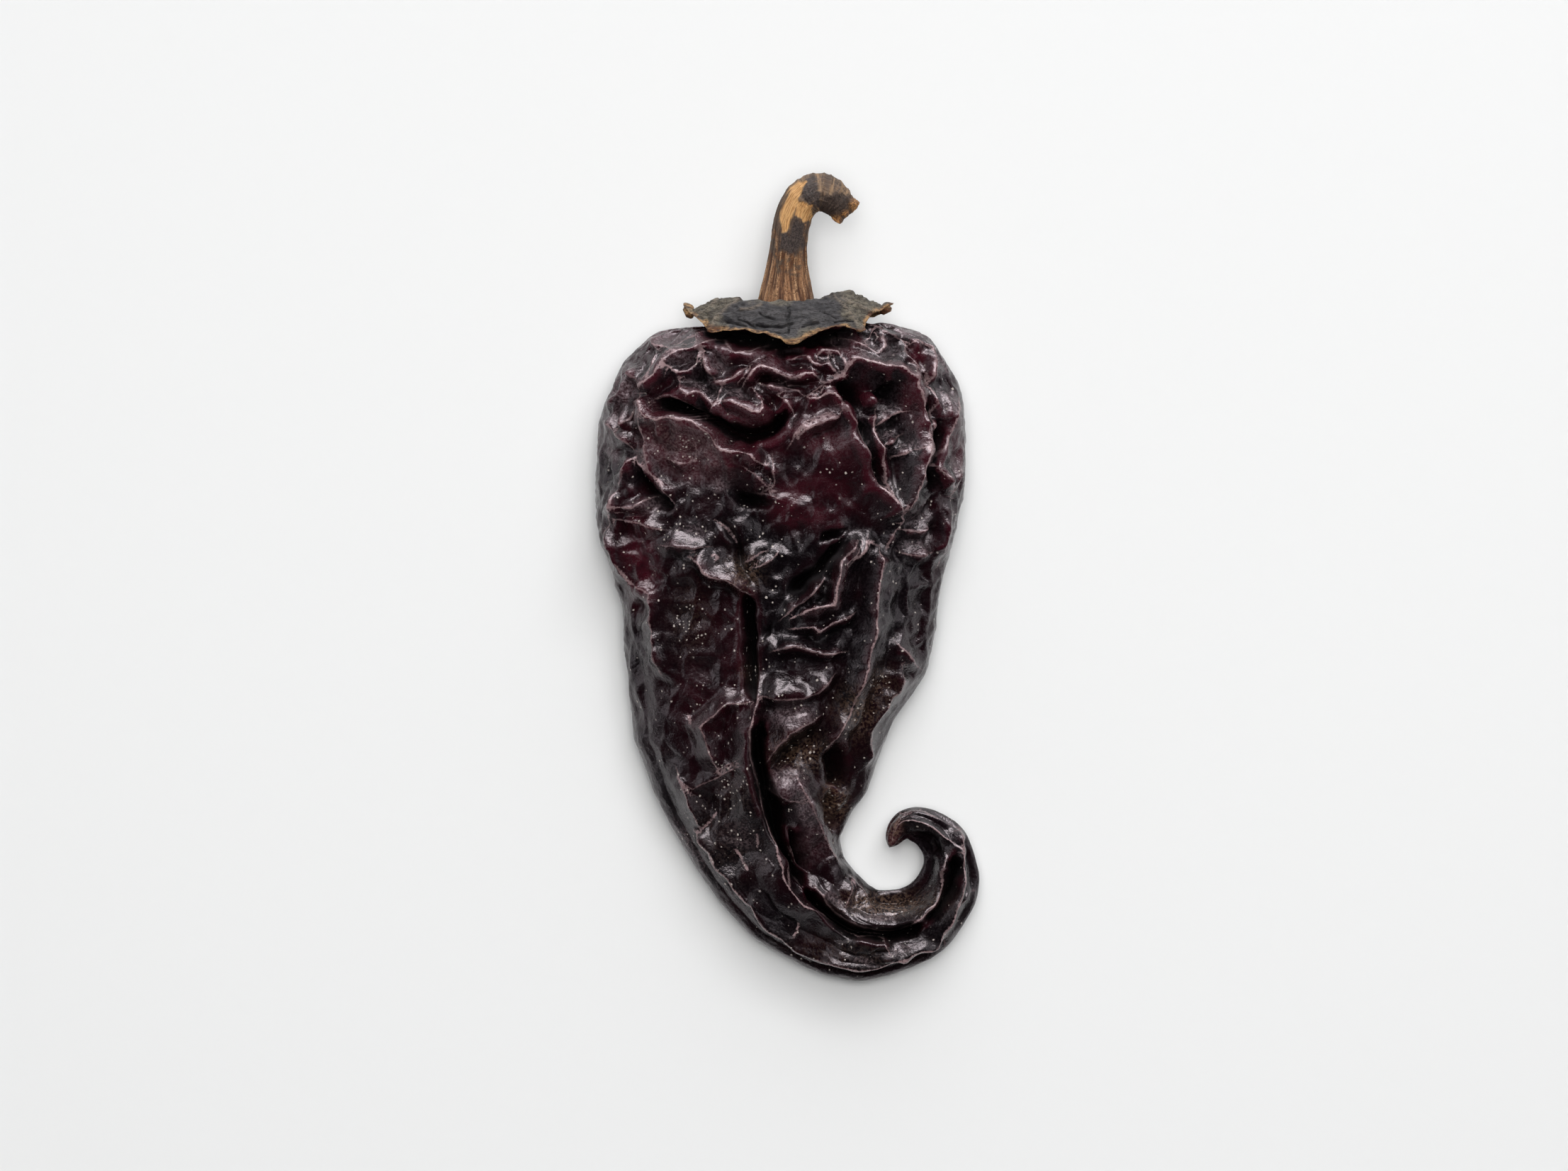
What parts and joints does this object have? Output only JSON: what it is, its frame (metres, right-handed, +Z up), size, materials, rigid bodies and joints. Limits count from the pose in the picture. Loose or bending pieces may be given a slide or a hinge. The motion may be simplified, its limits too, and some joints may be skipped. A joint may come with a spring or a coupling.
{
  "type": "dried ancho chili pod",
  "caption": "Dried ancho chili lying on its flatter side: a wide wrinkled pod that narrows into a hooked tail, with its papery calyx and curled woody stem.",
  "frame": {"origin": "middle of the footprint, on the surface that the chili lies on", "axes": "+Y from the tail to the stem along the length, +Z up, +X to the side that the stem and the tail hook towards"},
  "size_m": [0.0673, 0.1421, 0.0271],
  "materials": {
    "pod_skin": "dried near-black burgundy skin with a soft gloss on its folds",
    "calyx_skin": "matt papery grey-brown with a tan rim",
    "stem_bark": "matt fibrous tan and brown bark"
  },
  "bodies": {
    "root": {"pod": "pod_skin", "calyx": "calyx_skin", "stem": "stem_bark"}
  },
  "joints": []
}
